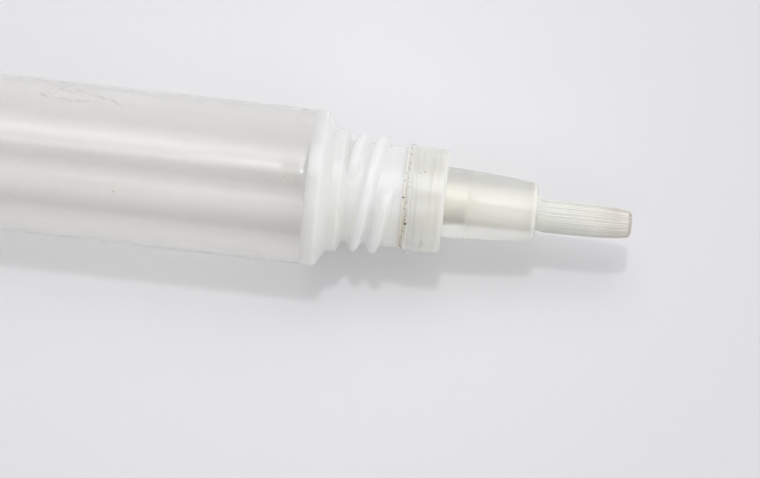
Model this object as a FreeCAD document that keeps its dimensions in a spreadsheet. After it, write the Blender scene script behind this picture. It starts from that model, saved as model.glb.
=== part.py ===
import FreeCAD, Part
import math
import os
import Sketcher

# A soft cosmetic tube with a brush applicator, lying on its side.
# The axis runs along X at the height of the sleeve's radius, and the brush points along +X.
# The origin is under the middle of the whole length, on the surface that the tube lies on.

# Driving sizes in millimetres, and counts.
SIZES = {
    # The sleeve: round behind the head, then flattened to a sealed tail.
    "tube_diameter": 16.0,
    "sleeve_wall": 0.45,
    "round_length": 35.0,
    "flattening_length": 45.0,
    "seal_length": 5.0,
    "seal_thickness": 0.8,
    "seal_opening": 0.2,
    "seal_groove_pitch": 1.2,
    "seal_groove_width": 0.4,
    "seal_groove_depth": 0.1,
    # The head: skirt, shoulder, base ring and threaded neck.
    "skirt_length": 1.4,
    "skirt_wall": 0.9,
    "head_wall": 1.1,
    "base_ring_diameter": 12.6,
    "base_ring_length": 1.02,
    "ring_slope_length": 0.61,
    "neck_diameter": 10.34,
    "neck_bore_diameter": 8.0,
    "neck_land_length": 1.41,
    "thread_diameter": 12.12,
    "thread_pitch": 2.0,
    "thread_starts": 2,
    "thread_turns": 1.0,
    "thread_start_gap": 0.17,
    "thread_crest_width": 0.46,
    "thread_root_width": 1.6,
    # The brush holder: plug, collar and ferrule.
    "seat_gap": 0.3,
    "plug_clearance": 0.04,
    "plug_length": 4.2,
    "plug_lead_in": 0.4,
    "plug_bore_diameter": 5.9,
    "collar_bore_diameter": 5.2,
    "collar_diameter": 10.74,
    "collar_length": 4.15,
    "collar_bore_depth": 0.85,
    "collar_cap_thickness": 1.2,
    "collar_edge_radius": 0.45,
    "rim_diameter": 11.08,
    "rim_length": 0.45,
    "ferrule_length": 9.4,
    "ferrule_root_diameter": 7.26,
    "ferrule_middle_diameter": 6.72,
    "ferrule_tip_diameter": 6.0,
    "ferrule_tip_radius": 0.7,
    "channel_diameter": 2.8,
    "ferrule_bore_diameter": 3.6,
    "ferrule_bore_depth": 6.95,
    # The bristles and their melted root.
    "tuft_clearance": 0.03,
    "root_length": 1.0,
    "root_hole_diameter": 0.9,
    "exposed_bristle_length": 9.8,
    "tuft_tip_radius": 0.45,
    # How far a cut runs past the face that it opens.
    "overrun": 0.3,
}

# The shoulder narrows from the sleeve to the base ring. Its cone rises by the first share of how
# far it narrows, its edge is rounded by the second, and the land before that edge is the third.
SHOULDER_RISE_SHARE = 0.56
SHOULDER_EDGE_SHARE = 0.294
SHOULDER_LAND_SHARE = 0.2235
# A ridge's flanks run on into the neck by this share of its height, so that no edge of the ridge
# lies on the neck's face.
BURIED_SHARE = 0.15
# The ferrule's sides bulge a little: its middle diameter lies at this share of its length.
FERRULE_MIDDLE_SHARE = 0.56
# The tuft narrows at these shares of its exposed length to these shares of its diameter.
TUFT_LENGTH_SHARES = (0.62, 0.88, 1.0)
TUFT_WIDTH_SHARES = (0.935, 0.82, 0.66)
# The flattened stretch is lofted through ovals, in this many equal steps.
FLATTENING_STEPS = 12
# Above one, this power makes the round stretch run smoothly into the flattened one.
FLATTENING_POWER = 1.35
# An oval's side arc meets its top arc where a line from the axis would halve a circle's quarter.
QUARTER_SPLIT = math.tan(math.pi / 8)


class Size:
    """A size that carries both its value and its formula in the sheet."""

    def __init__(self, value, formula):
        self.value = float(value)
        self.formula = formula

    def joined(self, sign, other, value):
        text = other.formula if isinstance(other, Size) else repr(other)
        return Size(value, f"({self.formula} {sign} {text})")

    def __float__(self):
        return self.value

    def __add__(self, other):
        return self.joined("+", other, self.value + float(other))

    def __sub__(self, other):
        return self.joined("-", other, self.value - float(other))

    def __mul__(self, other):
        return self.joined("*", other, self.value * float(other))

    def __truediv__(self, other):
        return self.joined("/", other, self.value / float(other))


def fill_sheet(doc):
    """Puts every driving size in a cell of its own, named by its alias."""
    sheet = doc.addObject("Spreadsheet::Sheet", "Sizes")
    sizes = {}
    for row, (alias, value) in enumerate(SIZES.items(), start=1):
        sheet.set(f"A{row}", alias)
        sheet.set(f"B{row}", str(value))
        sheet.setAlias(f"B{row}", alias)
    doc.recompute()
    for alias in SIZES:
        sizes[alias] = Size(sheet.get(alias), f"Sizes.{alias}")
    return sizes


def place(item, along, up):
    """Moves a finished piece along the axis and up to the axis's height."""
    item.setExpression("Placement.Base.x", along.formula)
    item.setExpression("Placement.Base.z", up.formula)


def new_body(doc, label):
    body = doc.addObject("PartDesign::Body", label)
    body.Label = label
    return body


def draw_outline(body, name, corners):
    """Draws a closed outline in the XZ plane: each corner is (along the axis, away from it)."""
    sketch = body.newObject("Sketcher::SketchObject", name)
    plane = next(item for item in body.Origin.OriginFeatures if item.Role == "XZ_Plane")
    sketch.AttachmentSupport = [(plane, "")]
    sketch.MapMode = "FlatFace"
    count = len(corners)
    points = [FreeCAD.Vector(float(along), float(away), 0) for along, away in corners]
    for index in range(count):
        sketch.addGeometry(Part.LineSegment(points[index], points[(index + 1) % count]))
    for index in range(count):
        sketch.addConstraint(Sketcher.Constraint("Coincident", index, 2, (index + 1) % count, 1))
    for index, corner in enumerate(corners):
        bind_corner(sketch, index, corner)
    return sketch


def bind_corner(sketch, index, corner):
    """Ties a corner to the sheet, or to an axis where its place is zero."""
    kinds = ("DistanceX", "DistanceY")
    zero_axes = (-2, -1)
    for kind, zero_axis, place_value in zip(kinds, zero_axes, corner):
        if isinstance(place_value, Size):
            measure = Sketcher.Constraint(kind, -1, 1, index, 1, place_value.value)
            number = sketch.addConstraint(measure)
            sketch.setExpression(f"Constraints[{number}]", place_value.formula)
        else:
            sketch.addConstraint(Sketcher.Constraint("PointOnObject", index, 1, zero_axis))


def revolve(body, name, corners):
    """Turns an outline about the X axis."""
    sketch = draw_outline(body, f"{name}_outline", corners)
    turned = body.newObject("PartDesign::Revolution", name)
    turned.Profile = sketch
    turned.ReferenceAxis = (sketch, ["H_Axis"])
    turned.Angle = 360
    sketch.Visibility = False
    return turned


def round_edge(doc, body, name, base, along, away, radius):
    """Rounds the circular edge that lies at this place along the axis and this far from it."""
    doc.recompute()
    reach = float(radius) / 10
    names = []
    for number, edge in enumerate(base.Shape.Edges, start=1):
        if not isinstance(edge.Curve, Part.Circle):
            continue
        same_place = abs(edge.Curve.Center.x - float(along)) < reach
        if same_place and abs(edge.Curve.Radius - float(away)) < reach:
            names.append(f"Edge{number}")
    if not names:
        raise RuntimeError(f"{name}: no edge to round")
    rounded = body.newObject("PartDesign::Fillet", name)
    rounded.Base = (base, names)
    rounded.setExpression("Radius", radius.formula)
    return rounded


def oval_wire(along, half_height, perimeter, offset):
    """Makes an oval of four tangent arcs, with the given perimeter before it is offset outwards."""
    low = half_height
    high = perimeter / 4
    while high - low > half_height * 1e-9:
        half_width = (low + high) / 2
        split = QUARTER_SPLIT * half_height / half_width
        angle = math.pi / 2 - 2 * math.atan(split)
        centre = (half_width - half_height) / (1 - split)
        side_radius = half_width - centre
        top_radius = side_radius + centre / math.cos(angle)
        quarter = side_radius * angle + top_radius * (math.pi / 2 - angle)
        if quarter < perimeter / 4:
            low = half_width
        else:
            high = half_width
    drop = centre * math.tan(angle)
    arcs = (
        (centre, 0, side_radius, -angle, angle),
        (0, -drop, top_radius, angle, math.pi - angle),
        (-centre, 0, side_radius, math.pi - angle, math.pi + angle),
        (0, drop, top_radius, math.pi + angle, 2 * math.pi - angle),
    )
    edges = []
    for across, up, radius, start, end in arcs:
        bends = []
        for turn in (start, (start + end) / 2, end):
            reach = radius + offset
            bends.append(FreeCAD.Vector(
                along, across + reach * math.cos(turn), up + reach * math.sin(turn)))
        edges.append(Part.Arc(*bends).toShape())
    return Part.Wire(edges)


def flattened_loft(doc, sizes, name, offset):
    """Lofts from the seal to the round stretch through ovals of one perimeter."""
    inside_radius = float(sizes["tube_diameter"] / 2 - sizes["sleeve_wall"])
    seal_half = float(sizes["seal_opening"] / 2)
    length = float(sizes["flattening_length"])
    start = float(sizes["seal_length"])
    wires = []
    for step in range(FLATTENING_STEPS + 1):
        share = step / FLATTENING_STEPS
        closing = (1 - share) ** FLATTENING_POWER
        half_height = inside_radius * (1 - closing) + seal_half * closing
        along = start + length * share
        wires.append(oval_wire(along, half_height, 2 * math.pi * inside_radius, offset))
    item = doc.addObject("Part::Feature", name)
    item.Shape = Part.makeLoft(wires, True, True)
    return item


def round_stretch(doc, sizes, name, radius):
    """Makes the round stretch as a cylinder along X."""
    item = doc.addObject("Part::Cylinder", name)
    item.setExpression("Radius", radius.formula)
    item.setExpression("Height", sizes["round_length"].formula)
    item.Placement.Rotation = FreeCAD.Rotation(FreeCAD.Vector(0, 1, 0), 90)
    item.setExpression("Placement.Base.x", (sizes["seal_length"] + sizes["flattening_length"]).formula)
    return item


def seal_grooves(doc, sizes, width):
    """Makes the fine grooves that the sealing jaws press into both faces of the tail."""
    pitch = float(sizes["seal_groove_pitch"])
    groove = float(sizes["seal_groove_width"])
    depth = float(sizes["seal_groove_depth"])
    overrun = float(sizes["overrun"])
    length = float(sizes["seal_length"])
    half_thickness = float(sizes["seal_thickness"] / 2)
    count = int(float(width) / pitch) - 1
    boxes = []
    for index in range(count):
        across = (index - (count - 1) / 2) * pitch - groove / 2
        for low in (half_thickness - depth, -half_thickness - overrun):
            corner = FreeCAD.Vector(-overrun, across, low)
            boxes.append(Part.makeBox(length + overrun - groove, groove, depth + overrun, corner))
    item = doc.addObject("Part::Feature", "seal_grooves")
    item.Shape = Part.makeCompound(boxes)
    return item


def make_sleeve(doc, sizes):
    """The extruded sleeve, from its sealed tail to the head's shoulder."""
    outer_radius = sizes["tube_diameter"] / 2
    inner_radius = outer_radius - sizes["sleeve_wall"]
    # Pressed flat, the tube is as wide as half of its wall's length round.
    seal_width = (sizes["tube_diameter"] - sizes["sleeve_wall"]) * math.pi / 2
    seal = doc.addObject("Part::Box", "seal")
    seal.setExpression("Length", sizes["seal_length"].formula)
    seal.setExpression("Width", seal_width.formula)
    seal.setExpression("Height", sizes["seal_thickness"].formula)
    seal.setExpression("Placement.Base.y", (seal_width / -2).formula)
    seal.setExpression("Placement.Base.z", (sizes["seal_thickness"] / -2).formula)
    outside = doc.addObject("Part::MultiFuse", "sleeve_outside")
    outside.Shapes = [
        seal,
        flattened_loft(doc, sizes, "flattened_outside", float(sizes["sleeve_wall"])),
        round_stretch(doc, sizes, "round_outside", outer_radius),
    ]
    inside = doc.addObject("Part::MultiFuse", "sleeve_inside")
    inside.Shapes = [
        flattened_loft(doc, sizes, "flattened_inside", 0),
        round_stretch(doc, sizes, "round_inside", inner_radius),
    ]
    hollow = doc.addObject("Part::Cut", "hollow_sleeve")
    hollow.Base = outside
    hollow.Tool = inside
    sleeve = doc.addObject("Part::Cut", "tube_sleeve")
    sleeve.Label = "tube_sleeve"
    sleeve.Base = hollow
    sleeve.Tool = seal_grooves(doc, sizes, seal_width)
    return sleeve


def make_head(doc, sizes):
    """The moulded head: its place zero is the rear end of the skirt inside the sleeve."""
    body = new_body(doc, "tube_head")
    tube_radius = sizes["tube_diameter"] / 2
    skirt_radius = tube_radius - sizes["sleeve_wall"]
    skirt_inside = skirt_radius - sizes["skirt_wall"]
    ring_radius = sizes["base_ring_diameter"] / 2
    neck_radius = sizes["neck_diameter"] / 2
    bore_radius = sizes["neck_bore_diameter"] / 2
    front = sizes["skirt_length"]
    narrowing = tube_radius - ring_radius
    land_end = front + narrowing * SHOULDER_LAND_SHARE
    shoulder_top = front + shoulder_rise(sizes)
    ring_front = shoulder_top + sizes["base_ring_length"]
    neck_start = ring_front + sizes["ring_slope_length"]
    thread_start = neck_start + sizes["thread_start_gap"]
    neck_end = thread_start + thread_advance(sizes) + sizes["neck_land_length"]
    solid = revolve(body, "head_solid", [
        (0, skirt_inside),
        (0, skirt_radius),
        (front, skirt_radius),
        (front, tube_radius),
        (land_end, tube_radius),
        (shoulder_top, ring_radius),
        (ring_front, ring_radius),
        (neck_start, neck_radius),
        (neck_end, neck_radius),
        (neck_end, bore_radius),
        (shoulder_top, bore_radius),
        (shoulder_top - sizes["head_wall"], skirt_inside),
    ])
    rounded = round_edge(doc, body, "shoulder_edge", solid, land_end, tube_radius,
                         narrowing * SHOULDER_EDGE_SHARE)
    body.Tip = rounded
    add_thread(body, sizes, thread_start, neck_radius)
    return body


def shoulder_rise(sizes):
    """How far the shoulder reaches past the sleeve's end."""
    narrowing = (sizes["tube_diameter"] - sizes["base_ring_diameter"]) / 2
    return narrowing * (SHOULDER_LAND_SHARE + SHOULDER_RISE_SHARE)


def thread_advance(sizes):
    """How far the thread runs along the neck."""
    return sizes["thread_pitch"] * sizes["thread_starts"] * sizes["thread_turns"]


def add_thread(body, sizes, thread_start, neck_radius):
    """Winds one left-hand ridge for each start, evenly spaced round the neck."""
    half_root = sizes["thread_root_width"] / 2
    half_crest = sizes["thread_crest_width"] / 2
    half_foot = half_root + (half_root - half_crest) * BURIED_SHARE
    crest_radius = sizes["thread_diameter"] / 2
    foot_radius = neck_radius - (crest_radius - neck_radius) * BURIED_SHARE
    profile = draw_outline(body, "ridge_outline", [
        (thread_start - half_foot, foot_radius),
        (thread_start + half_foot, foot_radius),
        (thread_start + half_crest, crest_radius),
        (thread_start - half_crest, crest_radius),
    ])
    ridge = body.newObject("PartDesign::AdditiveHelix", "thread_ridge")
    ridge.Profile = profile
    ridge.ReferenceAxis = (profile, ["H_Axis"])
    ridge.Mode = "pitch-turns-angle"
    ridge.LeftHanded = True
    ridge.setExpression("Pitch", (sizes["thread_pitch"] * sizes["thread_starts"]).formula)
    ridge.setExpression("Turns", sizes["thread_turns"].formula)
    profile.Visibility = False
    starts = body.newObject("PartDesign::PolarPattern", "thread_starts")
    starts.Originals = [ridge]
    starts.Axis = (profile, ["H_Axis"])
    starts.Angle = 360
    starts.setExpression("Occurrences", sizes["thread_starts"].formula)
    body.Tip = starts


def make_holder(doc, sizes):
    """The push-in brush holder: its place zero is the rear end of the plug."""
    body = new_body(doc, "brush_holder")
    plug_radius = sizes["neck_bore_diameter"] / 2 - sizes["plug_clearance"]
    collar_rear = sizes["plug_length"] + sizes["seat_gap"]
    collar_front = collar_rear + sizes["collar_length"]
    collar_radius = sizes["collar_diameter"] / 2
    ferrule_front = collar_front + sizes["ferrule_length"]
    ferrule_middle = collar_front + sizes["ferrule_length"] * FERRULE_MIDDLE_SHARE
    tip_radius = sizes["ferrule_tip_diameter"] / 2
    bore_radius = sizes["ferrule_bore_diameter"] / 2
    bore_floor = ferrule_front - sizes["ferrule_bore_depth"]
    channel_radius = sizes["channel_diameter"] / 2
    collar_bore_floor = collar_front - sizes["collar_cap_thickness"]
    collar_bore_start = collar_rear + sizes["collar_bore_depth"]
    solid = revolve(body, "holder_solid", [
        (0, sizes["plug_bore_diameter"] / 2),
        (0, plug_radius - sizes["plug_lead_in"] / 2),
        (sizes["plug_lead_in"], plug_radius),
        (collar_rear, plug_radius),
        (collar_rear, sizes["rim_diameter"] / 2),
        (collar_rear + sizes["rim_length"], sizes["rim_diameter"] / 2),
        (collar_rear + sizes["rim_length"], collar_radius),
        (collar_front, collar_radius),
        (collar_front, sizes["ferrule_root_diameter"] / 2),
        (ferrule_middle, sizes["ferrule_middle_diameter"] / 2),
        (ferrule_front, tip_radius),
        (ferrule_front, bore_radius),
        (bore_floor, bore_radius),
        (bore_floor, channel_radius),
        (collar_bore_floor, channel_radius),
        (collar_bore_floor, sizes["collar_bore_diameter"] / 2),
        (collar_bore_start, sizes["collar_bore_diameter"] / 2),
        (collar_bore_start, sizes["plug_bore_diameter"] / 2),
    ])
    collar = round_edge(doc, body, "collar_edge", solid, collar_front, collar_radius,
                        sizes["collar_edge_radius"])
    tip = round_edge(doc, body, "ferrule_edge", collar, ferrule_front, tip_radius,
                     sizes["ferrule_tip_radius"])
    body.Tip = tip
    return body


def make_root(doc, sizes):
    """The ring of melted bristle roots: its place zero is its rear face."""
    body = new_body(doc, "tuft_root")
    root_radius = sizes["ferrule_bore_diameter"] / 2 - sizes["tuft_clearance"]
    hole_radius = sizes["root_hole_diameter"] / 2
    body.Tip = revolve(body, "root_solid", [
        (0, hole_radius),
        (0, root_radius),
        (sizes["root_length"], root_radius),
        (sizes["root_length"], hole_radius),
    ])
    return body


def make_tuft(doc, sizes):
    """The bundle of bristles: its place zero is where the bristles leave their root."""
    body = new_body(doc, "bristle_tuft")
    tuft_radius = sizes["ferrule_bore_diameter"] / 2 - sizes["tuft_clearance"]
    exposed = sizes["exposed_bristle_length"]
    mouth = sizes["ferrule_bore_depth"] - sizes["root_length"]
    corners = [(0, 0), (0, tuft_radius), (mouth, tuft_radius)]
    for length_share, width_share in zip(TUFT_LENGTH_SHARES, TUFT_WIDTH_SHARES):
        corners.append((mouth + exposed * length_share, tuft_radius * width_share))
    tip, tip_radius = corners[-1]
    corners.append((tip, 0))
    solid = revolve(body, "tuft_solid", corners)
    body.Tip = round_edge(doc, body, "tuft_tip", solid, tip, tip_radius, sizes["tuft_tip_radius"])
    return body


def check(doc, nodes):
    """Stops if anything failed to build, or if a node isn't one whole solid."""
    for item in doc.Objects:
        if "Invalid" in item.State or "Error" in item.State:
            raise RuntimeError(f"{item.Label} failed: {item.State}")
    for node in nodes:
        if node.Shape.isNull() or not node.Shape.isValid() or len(node.Shape.Solids) != 1:
            raise RuntimeError(f"{node.Label} isn't one valid solid")
        print(node.Label, "solids", len(node.Shape.Solids), "volume", round(node.Shape.Volume, 3))


def main():
    doc = FreeCAD.newDocument("cosmetic_tube")
    sizes = fill_sheet(doc)

    sleeve = make_sleeve(doc, sizes)
    head = make_head(doc, sizes)
    holder = make_holder(doc, sizes)
    root = make_root(doc, sizes)
    tuft = make_tuft(doc, sizes)
    doc.recompute()

    sleeve_length = sizes["seal_length"] + sizes["flattening_length"] + sizes["round_length"]
    ring_reach = shoulder_rise(sizes) + sizes["base_ring_length"] + sizes["ring_slope_length"]
    thread_reach = sizes["thread_start_gap"] + thread_advance(sizes)
    neck_reach = ring_reach + thread_reach + sizes["neck_land_length"]
    ferrule_reach = neck_reach + sizes["seat_gap"] + sizes["collar_length"] + sizes["ferrule_length"]
    whole_length = sleeve_length + ferrule_reach + sizes["exposed_bristle_length"]
    axis_height = sizes["tube_diameter"] / 2
    tail = whole_length / -2
    shoulder = tail + sleeve_length
    bore_floor = shoulder + ferrule_reach - sizes["ferrule_bore_depth"]

    place(sleeve, tail, axis_height)
    place(head, shoulder - sizes["skirt_length"], axis_height)
    place(holder, shoulder + neck_reach - sizes["plug_length"], axis_height)
    place(root, bore_floor, axis_height)
    place(tuft, bore_floor + sizes["root_length"], axis_height)
    doc.recompute()

    nodes = (sleeve, head, holder, root, tuft)
    check(doc, nodes)
    os.makedirs("parts", exist_ok=True)
    for node in nodes:
        node.Shape.exportStep(f"parts/{node.Label}.step")


main()
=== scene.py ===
import math
import random

import bmesh
import bpy
import numpy as np
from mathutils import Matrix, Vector


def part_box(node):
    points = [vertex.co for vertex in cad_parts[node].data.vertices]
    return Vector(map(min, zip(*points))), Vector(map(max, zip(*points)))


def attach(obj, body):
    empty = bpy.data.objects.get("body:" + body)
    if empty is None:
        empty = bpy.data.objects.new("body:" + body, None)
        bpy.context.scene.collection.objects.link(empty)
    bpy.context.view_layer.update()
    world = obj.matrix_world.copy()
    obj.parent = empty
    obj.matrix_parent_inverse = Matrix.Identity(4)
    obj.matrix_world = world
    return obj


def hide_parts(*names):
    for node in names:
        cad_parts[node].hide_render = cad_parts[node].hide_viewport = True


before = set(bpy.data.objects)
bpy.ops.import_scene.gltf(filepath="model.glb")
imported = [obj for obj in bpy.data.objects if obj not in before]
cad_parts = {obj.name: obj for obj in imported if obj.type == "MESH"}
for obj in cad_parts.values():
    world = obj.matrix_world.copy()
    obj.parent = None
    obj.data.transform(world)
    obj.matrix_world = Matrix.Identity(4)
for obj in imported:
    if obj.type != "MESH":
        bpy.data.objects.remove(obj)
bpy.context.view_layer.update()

# A soft cosmetic tube with a brush applicator, lying on pale paper. Everything is in metres.
# Angles round the tube are measured from +Y towards +Z, seen from the tail.
MM = 0.001

# Places that come from the frame.
sleeve_low, sleeve_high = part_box("tube_sleeve")
head_low, head_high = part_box("tube_head")
holder_low, holder_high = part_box("brush_holder")
root_low, root_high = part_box("tuft_root")
_, tuft_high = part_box("bristle_tuft")
TUBE_RADIUS = (sleeve_high.z - sleeve_low.z) / 2
AXIS_HEIGHT = (sleeve_high.z + sleeve_low.z) / 2
SHOULDER = sleeve_high.x
TAIL = sleeve_low.x
NECK_END = head_high.x
PLUG_REAR = holder_low.x
FERRULE_FRONT = holder_high.x
ROOT_REAR = root_low.x
ROOT_FRONT = root_high.x
BRISTLE_TIP = tuft_high.x
EXPOSED = BRISTLE_TIP - FERRULE_FRONT

# The sleeve. Its front end tucks in under the head's own surface, a little behind the shoulder.
SLEEVE_WALL = 0.25 * MM
TUCK_LENGTH = 1.0 * MM
TUCK_DEPTH = 0.08 * MM
SLEEVE_END = SHOULDER - TUCK_LENGTH
ROUND_LENGTH = 35 * MM
FLATTENING_POWER = 1.35

# The sleeve's neck-in behind the skirt: full on top, and a small share of that elsewhere.
NECK_IN_DEPTH = 0.22 * MM
NECK_IN_REACH = 2.7 * MM
NECK_IN_RISE = 0.9 * MM
NECK_IN_EVEN = 0.2

# The sleeve's sealed tail. Its sections lie at these depths behind the seal's front edge.
SEAL_LENGTH = 5 * MM
SEAL_THICKNESS = 0.8 * MM
SEAL_OPENING = 0.2 * MM
SEAL_PLACES_MM = (0.12, 0.3, 0.5, 1.0, 1.6, 2.2, 2.8, 3.4, 4.0, 4.3, 4.55, 4.8, 4.92, 5.0)
GROOVES_START_MM = 0.3
GROOVES_END_MM = 4.9
GROOVES_FADE_MM = 0.3
GROOVE_PITCH = 1.2 * MM
GROOVE_WIDTH = 0.4 * MM
GROOVE_DEPTH = 0.1 * MM
TAIL_EDGE_MM = 4.8
TAIL_EDGE_LENGTH_MM = 0.2
TAIL_EDGE_SHARE = 0.12

# The head. Its skirt is drawn shorter than the solid's, its surface steps up where the sleeve
# ends, and its neck reaches a little into the seam.
SKIRT_REAR = head_low.x + 0.87 * MM
SKIRT_WALL = 0.9 * MM
SKIRT_GAP = 0.02 * MM
SKIRT_EDGE = 0.15 * MM
STEP_LENGTH = 0.02 * MM
STEP_EDGE = 0.04 * MM
SHOULDER_RISE = 1.33 * MM
SHOULDER_LAND = 0.38 * MM
SHOULDER_EDGE = 0.5 * MM
HEAD_WALL = 1.1 * MM
RING_LENGTH = 1.02 * MM
RING_SLOPE = 0.61 * MM
RING_RADIUS = 6.3 * MM
RING_TAPER = 0.05 * MM
RING_EDGE = 0.25 * MM
RING_FOOT = 0.3 * MM
NECK_RADIUS = 5.17 * MM
NECK_BORE = 4.0 * MM
NECK_EXTRA = 0.2 * MM
NECK_EDGE = 0.08 * MM
BORE_EDGE = 0.15 * MM
BORE_FOOT = 0.4 * MM
THREAD_HEIGHT = 0.89 * MM
THREAD_LEAD = 4.0 * MM
THREAD_STARTS = 2
THREAD_GAP = 0.25 * MM
THREAD_CREST = 0.15 * MM
THREAD_FOOT = 0.88 * MM
THREAD_FADE = 0.06

# The brush holder.
SEAT_GAP = 0.3 * MM
COLLAR_REAR = NECK_END + SEAT_GAP
PLUG_RADIUS = NECK_BORE - 0.04 * MM
PLUG_BORE = 2.95 * MM
PLUG_LEAD = 0.4 * MM
PLUG_LEAD_RISE = 0.2 * MM
PLUG_EDGE = 0.1 * MM
SEAT_EDGE = 0.05 * MM
COLLAR_BORE = 2.6 * MM
COLLAR_BORE_DEPTH = 0.85 * MM
COLLAR_RADIUS = 5.37 * MM
COLLAR_FRONT = COLLAR_REAR + 4.15 * MM
COLLAR_FLOOR = COLLAR_FRONT - 1.2 * MM
COLLAR_EDGE = 0.45 * MM
FLOOR_EDGE = 0.3 * MM
RIM_RADIUS = 5.54 * MM
RIM_LENGTH = 0.45 * MM
RIM_SHIFT = 0.2 * MM
RIM_EDGE = 0.12 * MM
RIM_FOOT = 0.06 * MM
FERRULE_ROOT = 3.63 * MM
FERRULE_MIDDLE = 3.36 * MM
FERRULE_TIP = 3.0 * MM
FERRULE_EDGE = 0.7 * MM
FERRULE_BITE = 0.05 * MM
FERRULE_MIDDLE_SHARE = 0.56
FERRULE_SIDE_SHARE = 0.83
FERRULE_STEPS = 10
PARTING_STEP = 2
PARTING_SHIFT = 0.63 * MM
PARTING_WIDTH = 0.06 * MM
PARTING_DROP = 0.01 * MM
PARTING_DEPTH = 0.04 * MM
CHANNEL_RADIUS = 1.4 * MM
RESIDUE_WALL = 0.15 * MM
RESIDUE_SHIFT = 0.1 * MM
TUFT_BORE = 1.8 * MM
MOUTH_FLOOR = FERRULE_FRONT - 0.35 * MM
MOUTH_EDGE = 0.08 * MM
MOUTH_FOOT = 0.1 * MM
ROOT_HOLE = 0.6 * MM

# The bristles, and the gathered core that they lie round.
BRISTLE_COUNT = 900
BRISTLE_RADIUS = 0.042 * MM
BRISTLE_SIDES = 6
BRISTLE_STEPS = 9
BRISTLE_SEED = 7
TUFT_RADIUS = TUFT_BORE - 0.06 * MM - BRISTLE_RADIUS
TUFT_OFFSET_PLACES = (0.0, 0.08, 1.0)
TUFT_OFFSETS = (0.1 * MM, 0.28 * MM, 0.17 * MM)
TUFT_PLACES = (0.0, 0.62, 0.88, 1.0)
TUFT_WIDTHS = (1.0, 0.985, 0.88, 0.76)
TIP_ROUNDING = 0.3 * MM
TIP_ROUNDING_POWER = 8
TIP_UNEVEN_MM = 0.16
STRAND_DRIFT_MM = 0.015
STRAND_WAVE = 0.002 * MM
TAPER_START = 0.8
TAPER_SHARE = 0.35
CORE_RADIUS = 1.42 * MM
CORE_CONTACT = 0.02 * MM
CORE_END_RADIUS = 0.01 * MM
CORE_REACH = 0.955
CORE_SHARE = 0.96
CORE_COLUMNS = 96
CORE_HIDDEN_STEPS = 8
CORE_SHOWN_STEPS = 24

# The camera, as the photograph has it. The picture's axes follow the tube: S runs along it
# towards the brush, T across it and downwards, in pixels.
FRAME_WIDTH_PX = 760
PX_PER_MM = 9.781
SHOULDER_S_PX = 321.0
CENTRE_S_PX = 387.7
CENTRE_T_PX = 44.0
AXIS_T_PX = 2.2
CAMERA_AZIMUTH = math.radians(6.58)
CAMERA_ELEVATION = math.radians(79)
LENS = 135.0
SENSOR = 36.0


def camera_axes():
    """The camera's right, up and backward directions."""
    a, e = CAMERA_AZIMUTH, CAMERA_ELEVATION
    right = Vector((math.cos(a), math.sin(a), 0))
    back = Vector((math.sin(a) * math.cos(e), -math.cos(a) * math.cos(e), math.sin(e)))
    return right, back.cross(right), back


def picture_axes():
    """The directions of the picture's S and T axes in space."""
    right, up, _ = camera_axes()
    lean = math.atan2(-up.x, right.x)
    along = right * math.cos(lean) - up * math.sin(lean)
    across = -right * math.sin(lean) - up * math.cos(lean)
    return along, across


def add_camera():
    data = bpy.data.cameras.new("camera")
    data.lens = LENS
    data.sensor_width = SENSOR
    data.clip_start = 0.01
    data.clip_end = 20
    camera = bpy.data.objects.new("camera", data)
    bpy.context.scene.collection.objects.link(camera)
    bpy.context.scene.camera = camera
    _, _, back = camera_axes()
    _, across = picture_axes()
    width = FRAME_WIDTH_PX / PX_PER_MM * MM
    centre_x = SHOULDER + (CENTRE_S_PX - SHOULDER_S_PX) / PX_PER_MM * MM
    target = Vector((centre_x, 0, AXIS_HEIGHT)) + across * (CENTRE_T_PX / PX_PER_MM * MM)
    camera.location = target + back * (width * LENS / SENSOR)
    camera.rotation_mode = "QUATERNION"
    camera.rotation_quaternion = (-back).to_track_quat("-Z", "Y")


# Nodes, for the materials and the room.
def connect(tree, value, socket):
    """Gives a socket a number, a colour or a vector, or links another node's output to it."""
    if isinstance(value, bpy.types.NodeSocket):
        tree.links.new(value, socket)
    elif socket.type == "RGBA":
        socket.default_value = (*value, 1)
    else:
        socket.default_value = value


def add_node(tree, kind, inputs, **settings):
    """A node with its settings, and what its inputs get, by their names or numbers."""
    node = tree.nodes.new("ShaderNode" + kind)
    for name, value in settings.items():
        setattr(node, name, value)
    for socket, value in inputs.items():
        connect(tree, value, node.inputs[socket])
    return node


def add_maths(tree, operation, *values):
    return add_node(tree, "Math", dict(enumerate(values)), operation=operation).outputs[0]


def add_ramp(tree, source, stops):
    """A colour ramp through stops of (place, colour)."""
    node = add_node(tree, "ValToRGB", {"Fac": source})
    elements = node.color_ramp.elements
    while len(elements) < len(stops):
        elements.new(0.5)
    for element, (place, colour) in zip(elements, stops):
        element.position = place
        element.color = (*colour, 1)
    return node.outputs["Color"]


# The middle part of a noise's strength.
NOISE_LOW = 0.3
NOISE_HIGH = 0.7


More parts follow.
